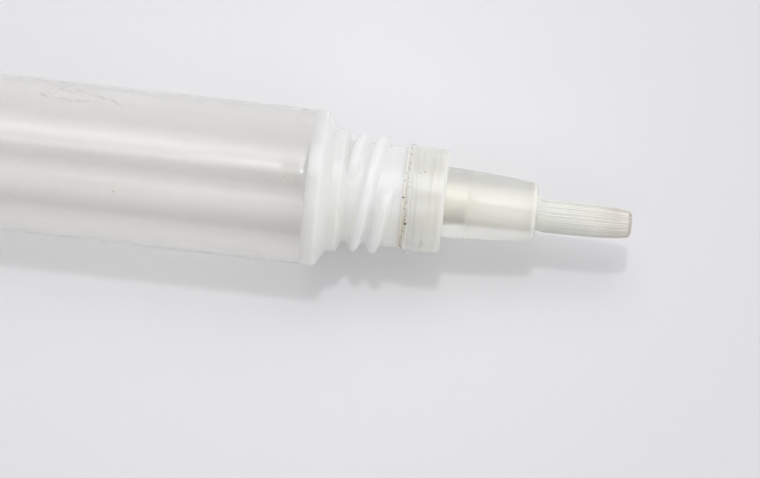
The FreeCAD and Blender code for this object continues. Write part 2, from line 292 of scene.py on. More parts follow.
class Material:
    """A Principled material and the small set of nodes that its detail needs."""

    def __init__(self, name, **values):
        self.data = bpy.data.materials.new(name)
        self.data.use_nodes = True
        self.tree = self.data.node_tree
        self.shader = self.tree.nodes["Principled BSDF"]
        self.feed(**values)

    def feed(self, **values):
        """Gives the shader's sockets their values, or links other nodes' outputs to them."""
        for socket, value in values.items():
            connect(self.tree, value, self.shader.inputs[socket.replace("_", " ")])

    def node(self, kind, inputs, **settings):
        return add_node(self.tree, kind, inputs, **settings)

    def place(self, stretch=(1, 1, 1)):
        """Object coordinates, stretched."""
        coordinates = self.node("TexCoord", {}).outputs["Object"]
        return self.node("Mapping", {"Vector": coordinates, "Scale": stretch}).outputs["Vector"]

    def axes(self):
        """Object coordinates, axis by axis."""
        return self.node("SeparateXYZ", {0: self.place()}).outputs

    def noise(self, scale, detail, stretch=(1, 1, 1)):
        inputs = {"Vector": self.place(stretch), "Scale": scale, "Detail": detail}
        return self.node("TexNoise", inputs).outputs["Fac"]

    def two_tone(self, source, first, second, low=NOISE_LOW, high=NOISE_HIGH):
        """A colour that goes from one to another over a part of a noise's strength."""
        return add_ramp(self.tree, source, ((low, first), (high, second)))

    def span(self, source, low, high, new_low, new_high):
        """Maps a value from one range to another."""
        inputs = {"Value": source, "From Min": low, "From Max": high,
                  "To Min": new_low, "To Max": new_high}
        return self.node("MapRange", inputs).outputs["Result"]

    def mix(self, factor, first, second):
        """A colour between two, each a plain one or another node's output."""
        return self.node("Mix", {0: factor, 6: first, 7: second}, data_type="RGBA").outputs[2]

    def maths(self, operation, *values):
        return add_maths(self.tree, operation, *values)

    def bump(self, height, distance):
        node = self.node("Bump", {"Height": height, "Distance": distance})
        self.feed(Normal=node.outputs["Normal"])


# Materials. A noise's scale is in waves a metre, and a blur is how far from its border one zone
# of a material goes over into the next.
SLEEVE_COAT = dict(Coat_Weight=1.0, Coat_IOR=1.55, Coat_Roughness=0.19)
HOLDER_COAT = dict(Coat_Weight=0.45, Coat_IOR=1.55, Coat_Roughness=0.19)
ZONE_BLUR = 0.1 * MM
COVER_BLUR = 0.05 * MM


def sleeve_material():
    """Natural polyethylene sheet: thin, hazy, faintly streaked, and hazier round the skirt."""
    made = Material("sleeve_polyethylene", IOR=1.2, **SLEEVE_COAT)
    tint = made.two_tone(made.noise(70, 3), (0.985, 0.98, 0.962), (0.998, 0.993, 0.977))
    streaks = made.noise(900, 2, (0.04, 1, 1))
    streaked = made.span(streaks, NOISE_LOW, NOISE_HIGH, 0.18, 0.21)
    fused = made.span(made.axes()["X"], SKIRT_REAR - ZONE_BLUR, SKIRT_REAR + ZONE_BLUR, 0, 1)
    made.feed(Base_Color=tint,
              Transmission_Weight=made.span(fused, 0, 1, 0.9, 0.7),
              Roughness=made.maths("MULTIPLY_ADD", fused, 0.04, streaked))
    return made.data


def head_material():
    """Milky moulded polyethylene, which light enters, with painted shade and painted light in its
    colour.
    """
    thick_end, thin_start = SHOULDER + 2.3 * MM, SHOULDER + 5.5 * MM
    near_seam_start, near_seam_end = NECK_END - 3.0 * MM, NECK_END - 1.5 * MM
    shallow_start, deep, shallow = NECK_END - 1.8 * MM, 1.4 * MM, 0.4 * MM
    made = Material("head_polyethylene", IOR=1.5, Transmission_Weight=0.08,
                    Subsurface_Weight=1.0, Subsurface_Radius=(1, 1, 0.95))
    axes = made.axes()
    cloud = made.noise(250, 3)
    # Painted shade: the thick shoulder is coloured darker than the thin neck, though both are the
    # same plastic.
    thick = made.span(axes["X"], thin_start, thick_end, 0, 1)
    upper_neck = made.two_tone(cloud, (0.99, 0.991, 0.985), (0.997, 0.998, 0.992))
    upper_colour = made.mix(thick, upper_neck, (0.83, 0.833, 0.825))
    # Painted shade: the lower side, which lies in shade, is given a warmer colour, most of all
    # near the seam.
    near_seam = made.span(axes["X"], near_seam_start, near_seam_end, 0, 1)
    warm_shade_neck = made.mix(near_seam, (0.992, 0.989, 0.958), (0.985, 0.966, 0.87))
    warm_shade_colour = made.mix(thick, warm_shade_neck, (0.84, 0.836, 0.808))
    shown = made.mix(made.span(axes["Y"], 1.0 * MM, -3.5 * MM, 0, 1), upper_colour, warm_shade_colour)
    # Painted light: the skirt under the sleeve is given a lighter colour than the shoulder beside
    # it.
    lightened_under_sleeve = made.span(axes["X"], SLEEVE_END + COVER_BLUR, SLEEVE_END - COVER_BLUR, 0, 1)
    # Light goes less deep near the neck's end, where it would leak out into the dark seam.
    depth = made.span(axes["X"], shallow_start, NECK_END, deep, shallow)
    made.feed(Base_Color=made.mix(lightened_under_sleeve, shown, (0.985, 0.987, 0.98)),
              Subsurface_Scale=depth,
              Roughness=made.span(cloud, 0.2, 0.8, 0.22, 0.26))
    made.bump(made.noise(4000, 2), 0.003 * MM)
    return made.data


def collar_material():
    """Natural polypropylene, hazy and a little yellow, with turning marks and a stained rim, the
    rim darker low down as painted shade.
    """
    made = Material("collar_polypropylene", IOR=1.49, Transmission_Weight=0.12,
                    Subsurface_Weight=1.0, Subsurface_Scale=1.2 * MM,
                    Subsurface_Radius=(1, 1, 0.9), **HOLDER_COAT)
    rim_start, rim_end = COLLAR_REAR + 0.2 * MM, COLLAR_REAR + 1.0 * MM
    axes = made.axes()
    marks = made.noise(2600, 3, (1, 0.04, 0.04))
    plain = made.two_tone(made.noise(300, 3), (0.84, 0.837, 0.79), (0.875, 0.872, 0.825))
    lined = made.mix(made.span(marks, 0.5, 0.72, 0, 1), plain, (0.77, 0.765, 0.72))
    rim = made.span(axes["X"], rim_end, rim_start, 0, 1)
    blotch = made.span(made.noise(1100, 4), 0.38, 0.62, 0.1, 1)
    # Painted shade: the rim's brown staining grows towards the lower, shaded side.
    lower = made.span(axes["Y"], 1.5 * MM, -3.0 * MM, 0.1, 1)
    stain_and_shade = made.maths("MULTIPLY", made.maths("MULTIPLY", rim, blotch), lower)
    stained = made.mix(stain_and_shade, lined, (0.76, 0.725, 0.62))
    plug = made.span(axes["X"], COLLAR_REAR + ZONE_BLUR, COLLAR_REAR - ZONE_BLUR, 0, 1)
    made.feed(Base_Color=made.mix(plug, stained, (0.975, 0.973, 0.95)),
              Roughness=made.span(marks, NOISE_LOW, NOISE_HIGH, 0.17, 0.26))
    made.bump(marks, 0.0025 * MM)
    return made.data


def ferrule_material():
    """The same polypropylene where it is thin and nearly clear, with painted shade on its lower
    side and a less clear ring in front that paints a highlight.
    """
    made = Material("ferrule_polypropylene", IOR=1.49, **HOLDER_COAT)
    axes = made.axes()
    marks = made.noise(1800, 3, (0.08, 1, 1))
    clear = made.two_tone(made.noise(300, 3), (0.985, 0.982, 0.952), (0.999, 0.997, 0.968))
    # Painted shade: the ferrule's lower side is given a darker colour.
    lower = made.span(axes["Y"], -1.8 * MM, -2.5 * MM, 0, 1)
    # Painted highlight: a ring near the front lets less light through, so that its pale colour
    # shows as a bright line.
    highlight_ring_start, highlight_ring_end = FERRULE_FRONT - 0.6 * MM, FERRULE_FRONT - 0.2 * MM
    begins = made.span(axes["X"], highlight_ring_start, highlight_ring_start + ZONE_BLUR, 0, 1)
    ends = made.span(axes["X"], highlight_ring_end, highlight_ring_end + ZONE_BLUR, 1, 0)
    highlight_ring = made.maths("MULTIPLY", begins, ends)
    made.feed(Base_Color=made.mix(lower, clear, (0.83, 0.825, 0.79)),
              Transmission_Weight=made.span(highlight_ring, 0, 1, 0.84, 0.4),
              Roughness=made.span(marks, NOISE_LOW, NOISE_HIGH, 0.3, 0.36))
    made.bump(marks, 0.002 * MM)
    return made.data


def bristle_material():
    """Fine nylon filaments, stained beige towards the tip, each with a tone of its own, with
    painted shade on the lower side near the ferrule.
    """
    made = Material("bristle_nylon", IOR=1.4, Roughness=0.5)
    axes = made.axes()
    share = made.span(axes["X"], FERRULE_FRONT, BRISTLE_TIP, 0, 1)
    wander = made.maths("MULTIPLY_ADD", made.noise(800, 2), 0.3, share)
    stain_and_shade = add_ramp(made.tree, wander, (
        (0.15, (0.935, 0.942, 0.92)), (0.75, (0.905, 0.892, 0.85)), (1.0, (0.82, 0.79, 0.74))))
    # Painted shade: the lower side near the ferrule is given a darker olive colour.
    lower = made.span(axes["Y"], -0.1 * MM, -0.8 * MM, 0, 1)
    behind = made.span(share, 0.15, 0.75, 1, 0)
    stain_and_shade = made.mix(made.maths("MULTIPLY", lower, behind), stain_and_shade, (0.85, 0.855, 0.81))
    strand = made.node("Attribute", {}, attribute_name="strand_tone")
    tone = made.span(strand.outputs["Fac"], 0, 1, 0.9, 0.95)
    toned = made.node("VectorMath", {0: stain_and_shade, "Scale": tone}, operation="SCALE")
    made.feed(Base_Color=toned.outputs["Vector"])
    return made.data


def core_material():
    """The gathered bristles inside the ferrule."""
    made = Material("gathered_nylon", IOR=2.0, Roughness=0.3)
    strands = made.noise(2500, 3, (0.05, 1, 1))
    made.feed(Base_Color=made.two_tone(strands, (0.985, 0.975, 0.905), (0.998, 0.993, 0.94)))
    return made.data


def root_material():
    """Nylon that was melted into one ring."""
    made = Material("root_nylon", Roughness=0.5)
    cloud = made.noise(1500, 3)
    made.feed(Base_Color=made.two_tone(cloud, (0.93, 0.92, 0.85), (0.96, 0.95, 0.89)))
    made.bump(cloud, 0.02 * MM)
    return made.data


def channel_material():
    """Product that has dried on the channel's wall: cream above, olive where it settled."""
    made = Material("dried_product", IOR=1.7, Roughness=0.3)
    cloud = made.noise(900, 3)
    wander = made.maths("MULTIPLY_ADD", cloud, 0.8 * MM, made.axes()["Y"])
    settled = made.span(wander, 0.5 * MM, -0.9 * MM, 0, 1)
    pale = made.two_tone(cloud, (0.98, 0.965, 0.87), (0.998, 0.988, 0.92))
    made.feed(Base_Color=made.mix(settled, pale, (0.66, 0.65, 0.58)))
    return made.data


def mark_material(name, dark, light, settled=None):
    """A colour between two, for dried residue, dust, hair and white painted glints; given a third
    colour, it turns to that low on the tube's side, which is partly painted shade.
    """
    made = Material(name, Roughness=0.6)
    cloud = made.noise(2200, 4)
    colour = made.two_tone(cloud, dark, light, 0.35, 0.65)
    if settled:
        # Partly painted shade: low on the tube's side the colour turns to the third one.
        lower = made.span(made.axes()["Y"], 0.5 * MM, -3.5 * MM, 0, 1)
        patches = made.span(made.noise(1300, 3), 0.35, 0.6, 0.2, 1)
        colour = made.mix(made.maths("MULTIPLY", lower, patches), colour, settled)
    made.feed(Base_Color=colour)
    made.bump(cloud, 0.02 * MM)
    return made.data


def paper_material():
    """Pale matt paper, with painted light making it paler round the head of the tube."""
    made = Material("pale_paper", Roughness=0.85, Specular_IOR_Level=0.2)
    plain = made.two_tone(made.noise(9, 3), (0.75, 0.748, 0.774), (0.758, 0.756, 0.782))
    # Painted light: a paler pool of colour round the head of the tube.
    centre, inner, outer = (SHOULDER, 12 * MM, 0), 5 * MM, 56 * MM
    distance = made.node("VectorMath", {0: made.place(), 1: centre}, operation="DISTANCE")
    near = made.span(distance.outputs["Value"], outer, inner, 0, 1)
    made.feed(Base_Color=made.mix(near, plain, (0.84, 0.838, 0.86)))
    made.bump(made.noise(2600, 2), 0.01 * MM)
    return made.data


# Meshes.
MERGE_DISTANCE = 1e-7


def add_piece(name, points, faces, material, body, replaces=(), sharp=60, tones=None):
    """Makes a closed mesh that rides on a body. Tones are one number for each point."""
    mesh = bpy.data.meshes.new(name)
    mesh.from_pydata([tuple(point) for point in points], [], [tuple(face) for face in faces])
    if tones:
        mesh.attributes.new("strand_tone", "FLOAT", "POINT").data.foreach_set("value", tones)
    work = bmesh.new()
    work.from_mesh(mesh)
    if not tones:
        bmesh.ops.remove_doubles(work, verts=work.verts, dist=MERGE_DISTANCE)
    bmesh.ops.recalc_face_normals(work, faces=work.faces)
    work.to_mesh(mesh)
    work.free()
    mesh.shade_smooth()
    mesh.set_sharp_from_angle(angle=math.radians(sharp))
    mesh.materials.append(material)
    piece = bpy.data.objects.new(name, mesh)
    bpy.context.scene.collection.objects.link(piece)
    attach(piece, body)
    if replaces:
        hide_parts(*replaces)


def grid_faces(rows, columns, close_rows=False, first=0):
    """Quads between rows of points, each row closed on itself."""
    faces = []
    for row in range(rows if close_rows else rows - 1):
        lower = first + row * columns
        upper = first + (row + 1) % rows * columns
        for column in range(columns):
            after = (column + 1) % columns
            faces.append((lower + column, lower + after, upper + after, upper + column))
    return faces


def strand_faces(rows, columns, first=0):
    """The quads between a strand's rows of points, and a face at each end."""
    last = first + (rows - 1) * columns
    ends = [tuple(range(start, start + columns)) for start in (first, last)]
    return grid_faces(rows, columns, first=first) + ends


def turned_points(along, away, angles):
    """Points at these places along the axis and distances from it; away is rows by columns."""
    points = np.empty((*away.shape, 3))
    points[..., 0] = along
    points[..., 1] = away * np.cos(angles)
    points[..., 2] = AXIS_HEIGHT + away * np.sin(angles)
    return points.reshape(-1, 3)


def smooth_step(share):
    share = np.clip(share, 0, 1)
    return share * share * (3 - 2 * share)


def rounded_outline(corners, steps=7):
    """A closed outline from corners of (along, away, rounding radius)."""
    outline = []
    count = len(corners)
    for index, (along, away, radius) in enumerate(corners):
        here = Vector((along, away))
        if not radius:
            outline.append((along, away))
            continue
        before = Vector(corners[index - 1][:2]) - here
        after = Vector(corners[(index + 1) % count][:2]) - here
        half = before.angle(after) / 2
        # Two neighbouring roundings don't meet on the run between their corners.
        room = min(before.length, after.length) * 0.49
        reach = min(radius / math.tan(half), room)
        bend = reach * math.tan(half)
        start = before.normalized()
        end = after.normalized()
        centre = here + (start + end).normalized() * (bend / math.sin(half))
        first = here + start * reach - centre
        last = here + end * reach - centre
        turn = first.angle(last)
        for step in range(steps + 1):
            share = step / steps
            mixed = first * math.sin((1 - share) * turn) + last * math.sin(share * turn)
            outline.append(tuple(centre + mixed / math.sin(turn)))
    return outline


def divided(outline, step):
    """The same closed outline with no run longer than a step."""
    dense = []
    for index, (along, away) in enumerate(outline):
        next_along, next_away = outline[(index + 1) % len(outline)]
        length = math.hypot(next_along - along, next_away - away)
        pieces = max(1, math.ceil(length / step))
        for piece in range(pieces):
            share = piece / pieces
            dense.append((along + (next_along - along) * share,
                          away + (next_away - away) * share))
    return dense


def lathe(outline, columns):
    """Turns a closed outline about the tube's axis."""
    angles = np.arange(columns) * (math.tau / columns)
    along = np.array([point[0] for point in outline])[:, None]
    away = np.array([point[1] for point in outline])[:, None] + np.zeros((1, columns))
    return turned_points(along, away, angles), grid_faces(len(outline), columns, True)


# The sleeve.
SIDE_COLUMNS = 14
TOP_COLUMNS = 50
FRONT_ROWS = 90
FRONT_ROWS_POWER = 1.6
FLATTENING_ROWS = 70
HALVINGS = 60


def oval(half_height, perimeter, offset):
    """One quarter's centre, drop, radii and split angle of an oval of four tangent arcs."""
    low, high = half_height, perimeter / 4
    for _ in range(HALVINGS):
        half_width = (low + high) / 2
        split = math.tan(math.pi / 8) * half_height / half_width
        angle = math.pi / 2 - 2 * math.atan(split)
        centre = (half_width - half_height) / (1 - split)
        side = half_width - centre
        top = side + centre / math.cos(angle)
        if side * angle + top * (math.pi / 2 - angle) < perimeter / 4:
            low = half_width
        else:
            high = half_width
    return centre, centre * math.tan(angle), side + offset, top + offset, angle


def oval_row(half_height, perimeter, offset):
    """Points of one whole oval, as (across, up) from the axis."""
    centre, drop, side, top, angle = oval(half_height, perimeter, offset)
    quarter = []
    for step in range(SIDE_COLUMNS):
        turn = angle * step / SIDE_COLUMNS
        quarter.append((centre + side * math.cos(turn), side * math.sin(turn)))
    for step in range(TOP_COLUMNS):
        turn = angle + (math.pi / 2 - angle) * step / TOP_COLUMNS
        quarter.append((top * math.cos(turn), top * math.sin(turn) - drop))
    crown = (0.0, top - drop)
    upper = quarter + [crown] + [(-across, up) for across, up in reversed(quarter)]
    lower = [(across, -up) for across, up in reversed(upper[1:-1])]
    return np.array(upper + lower)


def neck_in(along):
    """How far the sleeve's top draws in behind the end of the skirt inside it."""
    behind = SKIRT_REAR - NECK_IN_RISE - along
    reach = NECK_IN_REACH if behind > 0 else NECK_IN_RISE
    return NECK_IN_DEPTH * (1 - float(smooth_step(abs(behind) / reach)))


def drawn_share(upward):
    """The share of that depth round the sleeve, by how far up a place on it faces."""
    return NECK_IN_EVEN + (1 - NECK_IN_EVEN) * np.clip(upward, 0, 1) ** 2


def drawn_in(row, depth):
    away = np.hypot(row[:, 0], row[:, 1])
    return row * (1 - depth * drawn_share(row[:, 1] / away) / away)[:, None]


def sleeve_rows(offset):
    """Sections of the sleeve's inner skin, or of its outer one, an offset outside, from the
    front end back to where the seal starts. Only the outer skin has the tuck's step."""
    inside = TUBE_RADIUS - SLEEVE_WALL
    perimeter = math.tau * inside
    seal_start = TAIL + SEAL_LENGTH
    round_start = SHOULDER - ROUND_LENGTH
    tuck = TUCK_DEPTH if offset else 0
    tucked = oval_row(inside - tuck, math.tau * (inside - tuck), offset)
    rows = [(SHOULDER + TUCK_DEPTH, tucked), (SLEEVE_END + TUCK_DEPTH, tucked)]
    shares = np.linspace(0, 1, FRONT_ROWS) ** FRONT_ROWS_POWER
    for along in SLEEVE_END - shares * (SLEEVE_END - round_start):
        rows.append((along, drawn_in(oval_row(inside, perimeter, offset), neck_in(along))))
    for step in range(1, FLATTENING_ROWS + 1):
        share = step / FLATTENING_ROWS
        closing = share ** FLATTENING_POWER
        half_height = inside * (1 - closing) + SEAL_OPENING / 2 * closing
        along = round_start + (seal_start - round_start) * share
        rows.append((along, oval_row(half_height, perimeter, offset)))
    return rows


def groove_depth(across):
    """Depth of the fine grooves that the sealing jaws leave along the tail."""
    near = np.abs((across / GROOVE_PITCH + 0.5) % 1 - 0.5) * GROOVE_PITCH
    return GROOVE_DEPTH * (1 - smooth_step((near - GROOVE_WIDTH / 4) / (GROOVE_WIDTH / 2)))


def seal_rows(last_row):
    """Sections of the flat pressed tail, after the sleeve's last open one."""
    rows = []
    half = SEAL_THICKNESS / 2
    full = np.abs(last_row[:, 1]).max()
    for depth_mm in SEAL_PLACES_MM:
        flat = last_row * np.array([1, half / full])
        strength = (smooth_step((depth_mm - GROOVES_START_MM) / GROOVES_FADE_MM)
                    * smooth_step((GROOVES_END_MM - depth_mm) / GROOVES_FADE_MM))
        cut = groove_depth(flat[:, 0]) * strength * smooth_step(np.abs(flat[:, 1]) / half * 2 - 1)
        flat[:, 1] -= np.sign(flat[:, 1]) * cut
        edge = smooth_step((depth_mm - TAIL_EDGE_MM) / TAIL_EDGE_LENGTH_MM)
        flat[:, 1] *= 1 - TAIL_EDGE_SHARE * edge
        rows.append((TAIL + SEAL_LENGTH - depth_mm * MM, flat))
    return rows


def closed_end(first, columns):
    """Closes an oval with strips from its upper edge to its lower one."""
    faces = []
    for column in range(columns // 2):
        upper, upper_next = first + column, first + column + 1
        lower, lower_next = first + (columns - column) % columns, first + columns - column - 1
        faces.append(tuple(dict.fromkeys((upper, upper_next, lower_next, lower))))
    return faces


def add_sleeve(material):
    """One closed wall: the outer skin with the sealed tail, and the inner one."""
    outer = sleeve_rows(SLEEVE_WALL)
    outer += seal_rows(outer[-1][1])
    inner = sleeve_rows(0)
    columns = len(outer[0][1])
    points = []
    for along, section in outer + inner[::-1]:
        points += [(along, across, AXIS_HEIGHT + up) for across, up in section]
    inner_first = len(outer) * columns
    inner_last = inner_first + (len(inner) - 1) * columns
    faces = grid_faces(len(outer), columns)
    faces += grid_faces(len(inner), columns, first=inner_first)
    for column in range(columns):
        after = (column + 1) % columns
        faces.append((column, after, inner_last + after, inner_last + column))
    faces += closed_end(inner_first - columns, columns)
    faces += closed_end(inner_first, columns)
    add_piece("sleeve", points, faces, material, "tube", ("tube_sleeve",), sharp=50)


# The head.
HEAD_COLUMNS = 240
HEAD_STEP = 0.07 * MM
RING_REAR = SHOULDER + SHOULDER_RISE
RING_FRONT = RING_REAR + RING_LENGTH
NECK_START = RING_FRONT + RING_SLOPE
NECK_TOLERANCE = 0.02 * MM
RIDGE_TRACE = 0.001 * MM


def ridge_height(along, angles):
    """Height of the thread's ridges over the neck, one left-hand ridge for each start."""
    height = np.zeros(np.broadcast(along, angles).shape)
    for number in range(THREAD_STARTS):
        begin = math.pi / 2 + number * math.tau / THREAD_STARTS
        turn = ((begin - angles) / math.tau) % 1
        away = np.abs(along - (NECK_START + THREAD_GAP) - THREAD_LEAD * turn)
        ridge = smooth_step((THREAD_FOOT - away) / (THREAD_FOOT - THREAD_CREST))
        fade = smooth_step(turn / THREAD_FADE) * smooth_step((1 - turn) / THREAD_FADE)
        height = np.maximum(height, THREAD_HEIGHT * ridge * fade)
    return height


def add_head(material):
    """Skirt, shoulder, base ring and threaded neck, round one bore."""
    skirt = TUBE_RADIUS - SLEEVE_WALL - SKIRT_GAP
    skirt_inside = skirt - SKIRT_WALL
    neck_front = NECK_END + NECK_EXTRA
    outline = divided(rounded_outline([
        (SKIRT_REAR, skirt_inside, SKIRT_EDGE),
        (SKIRT_REAR, skirt, 0),
        (SLEEVE_END - STEP_LENGTH, skirt, 0),
        (SLEEVE_END, TUBE_RADIUS, STEP_EDGE),
        (SHOULDER + SHOULDER_LAND, TUBE_RADIUS, SHOULDER_EDGE),
        (RING_REAR, RING_RADIUS + RING_TAPER, RING_FOOT),
        (RING_FRONT, RING_RADIUS - RING_TAPER, RING_EDGE),
        (NECK_START, NECK_RADIUS, RING_EDGE),
        (neck_front, NECK_RADIUS, NECK_EDGE),
        (neck_front, NECK_BORE, BORE_EDGE),
        (RING_REAR, NECK_BORE, BORE_FOOT),
        (RING_REAR - HEAD_WALL, skirt_inside, BORE_FOOT),
    ]), HEAD_STEP)
    angles = np.arange(HEAD_COLUMNS) * (math.tau / HEAD_COLUMNS)
    along = np.array([point[0] for point in outline])[:, None]
    base = np.array([point[1] for point in outline])[:, None]
    ridge = NECK_RADIUS + ridge_height(along, angles[None, :])
    on_neck = (base > NECK_RADIUS - NECK_TOLERANCE) & (along > RING_REAR)
    raised = on_neck & (ridge > NECK_RADIUS + RIDGE_TRACE)
    points = turned_points(along, np.where(raised, np.maximum(base, ridge), base), angles)
    faces = grid_faces(len(outline), HEAD_COLUMNS, True)
    add_piece("head", points, faces, material, "tube", ("tube_head",))


# The brush holder, with the root and the dried product inside it.
HOLDER_COLUMNS = 200
HOLDER_STEP = 0.4 * MM
RING_STEP = 0.5 * MM


def add_turned(name, outline, step, columns, material, replaces=()):
    """A piece of the applicator that is turned from a closed outline."""
    points, faces = lathe(divided(outline, step), columns)
    add_piece(name, points, faces, material, "applicator", replaces)


def add_collar(material):
    """The collar with its plug."""
    collar_start = COLLAR_REAR + COLLAR_BORE_DEPTH
    rim_rear = COLLAR_REAR + RIM_SHIFT
    rim_front = rim_rear + RIM_LENGTH
    outline = rounded_outline([
        (PLUG_REAR, PLUG_BORE, PLUG_EDGE),
        (PLUG_REAR, PLUG_RADIUS - PLUG_LEAD_RISE, PLUG_EDGE),
        (PLUG_REAR + PLUG_LEAD, PLUG_RADIUS, PLUG_EDGE),
        (rim_rear, PLUG_RADIUS, SEAT_EDGE),
        (rim_rear, RIM_RADIUS, RIM_EDGE),
        (rim_front, RIM_RADIUS, RIM_EDGE),
        (rim_front, COLLAR_RADIUS, RIM_FOOT),
        (COLLAR_FRONT, COLLAR_RADIUS, COLLAR_EDGE),
        (COLLAR_FRONT, CHANNEL_RADIUS, 0),
        (COLLAR_FLOOR, CHANNEL_RADIUS, FLOOR_EDGE),
        (COLLAR_FLOOR, COLLAR_BORE, FLOOR_EDGE),
        (collar_start, COLLAR_BORE, PLUG_EDGE),
        (collar_start, PLUG_BORE, PLUG_EDGE),
    ])
    add_turned("holder_collar", outline, HOLDER_STEP, HOLDER_COLUMNS, material,
               ("brush_holder",))


def ferrule_radius(share):
    """The ferrule's outer radius: a parabola through its root, middle and tip."""
    middle = FERRULE_MIDDLE_SHARE
    slope = FERRULE_TIP - FERRULE_ROOT
    bulge = (FERRULE_MIDDLE - FERRULE_ROOT - slope * middle) / (middle * (1 - middle))
    return FERRULE_ROOT + slope * share + bulge * share * (1 - share)


def add_ferrule(material):
    """The ferrule, which runs on from the collar's front and has a shallow parting groove."""
    corners = []
    for step in range(FERRULE_STEPS):
        share = FERRULE_SIDE_SHARE * step / (FERRULE_STEPS - 1)
        along = COLLAR_FRONT + (FERRULE_FRONT - COLLAR_FRONT) * share
        corners.append((along, ferrule_radius(share), 0))
        if step == PARTING_STEP:
            groove = along + PARTING_SHIFT
            edge = ferrule_radius(share) - PARTING_DROP
            corners += [(groove - PARTING_WIDTH, edge, 0), (groove, edge - PARTING_DEPTH, 0),
                        (groove + PARTING_WIDTH, edge, 0)]
    corners[0] = (COLLAR_FRONT - FERRULE_BITE, FERRULE_ROOT, 0)
    corners += [
        (FERRULE_FRONT, FERRULE_TIP, FERRULE_EDGE),
        (FERRULE_FRONT, TUFT_BORE, MOUTH_EDGE),
        (MOUTH_FLOOR, TUFT_BORE, MOUTH_FOOT),
        (MOUTH_FLOOR, CORE_RADIUS - CORE_CONTACT, 0),
        (COLLAR_FRONT - FERRULE_BITE, CORE_RADIUS - CORE_CONTACT, 0),
    ]
    add_turned("holder_ferrule", rounded_outline(corners), HOLDER_STEP, HOLDER_COLUMNS, material,
               ("brush_holder",))


def add_ring(name, start, end, hole, material, replaces=()):
    """A ring of the gathered bristles' size, between two places along the axis."""
    outline = [(start, CORE_RADIUS), (end, CORE_RADIUS), (end, hole), (start, hole)]
    add_turned(name, outline, RING_STEP, CORE_COLUMNS, material, replaces)


# The bristles.
def tuft_width(share):
    """The tuft's width at a share of its length, as a share of the width at its root."""
    return float(np.interp(share, TUFT_PLACES, TUFT_WIDTHS))


def tuft_offset(share):
    """How far the tuft hangs below the axis at a share of its length, in the picture's T."""
    return float(np.interp(share, TUFT_OFFSET_PLACES, TUFT_OFFSETS))


def add_core(material):
    """The gathered bristles, from the root to near the tip; single strands cover them outside."""
    _, down = picture_axes()
    rear = ROOT_FRONT - CORE_CONTACT
    rows = [(rear, CORE_END_RADIUS, 0), (rear, CORE_RADIUS, 0)]
    for step in range(1, CORE_HIDDEN_STEPS + 1):
        along = ROOT_FRONT + (MOUTH_FLOOR - ROOT_FRONT) * step / CORE_HIDDEN_STEPS
        rows.append((along, CORE_RADIUS, 0))
    for step in range(CORE_SHOWN_STEPS + 1):
        share = CORE_REACH * step / CORE_SHOWN_STEPS
        width = TUFT_RADIUS * CORE_SHARE * tuft_width(share)
        rows.append((FERRULE_FRONT + EXPOSED * share, width, tuft_offset(share)))
    rows.append((FERRULE_FRONT + EXPOSED * CORE_REACH, CORE_END_RADIUS, tuft_offset(CORE_REACH)))
    points = []
    for along, away, offset in rows:
        for column in range(CORE_COLUMNS):
            angle = column * (math.tau / CORE_COLUMNS)
            points.append((along, away * math.cos(angle) + offset * down.y,
                           AXIS_HEIGHT + away * math.sin(angle) + offset * down.z))
    faces = strand_faces(len(rows), CORE_COLUMNS)
    add_piece("bristle_core", points, faces, material, "applicator")


def add_bristles(material):
    """Fine filaments that start in the ferrule's mouth and draw together towards the tip."""
    dice = random.Random(BRISTLE_SEED)
    points, faces, tones = [], [], []
    _, down = picture_axes()
    golden_angle = math.pi * (3 - math.sqrt(5))
    for number in range(BRISTLE_COUNT):
        reach = math.sqrt((number + 0.5) / BRISTLE_COUNT)
        turn = number * golden_angle
        across, up = reach * math.cos(turn), reach * math.sin(turn)
        uneven = dice.uniform(0, TIP_UNEVEN_MM) * MM
        tip = BRISTLE_TIP - (TIP_ROUNDING * reach ** TIP_ROUNDING_POWER + uneven)
        drift = (dice.gauss(0, STRAND_DRIFT_MM) * MM, dice.gauss(0, STRAND_DRIFT_MM) * MM)
        wave = dice.uniform(0, math.tau)
        tone = dice.random()
        places = [MOUTH_FLOOR, FERRULE_FRONT]
        for step in range(1, BRISTLE_STEPS + 1):
            places.append(FERRULE_FRONT + (tip - FERRULE_FRONT) * step / BRISTLE_STEPS)
        faces += strand_faces(len(places), BRISTLE_SIDES, len(points))
        for along in places:
            share = max(0.0, (along - FERRULE_FRONT) / EXPOSED)
            spread = TUFT_RADIUS * tuft_width(share)
            sag = tuft_offset(share)
            centre_y = (across * spread + drift[0] * share * share
                        + STRAND_WAVE * math.sin(wave + 5 * share) + sag * down.y)
            centre_z = (up * spread + drift[1] * share * share
                        + STRAND_WAVE * math.cos(wave + 4 * share) + sag * down.z)
            taper = max(0.0, share - TAPER_START) / (1 - TAPER_START)
            radius = BRISTLE_RADIUS * (1 - TAPER_SHARE * taper)
            for side in range(BRISTLE_SIDES):
                angle = math.tau * side / BRISTLE_SIDES
                points.append((along, centre_y + radius * math.cos(angle),
                               AXIS_HEIGHT + centre_z + radius * math.sin(angle)))
                tones.append(tone)
    add_piece("bristles", points, faces, material, "applicator", ("bristle_tuft",),
              sharp=70, tones=tones)


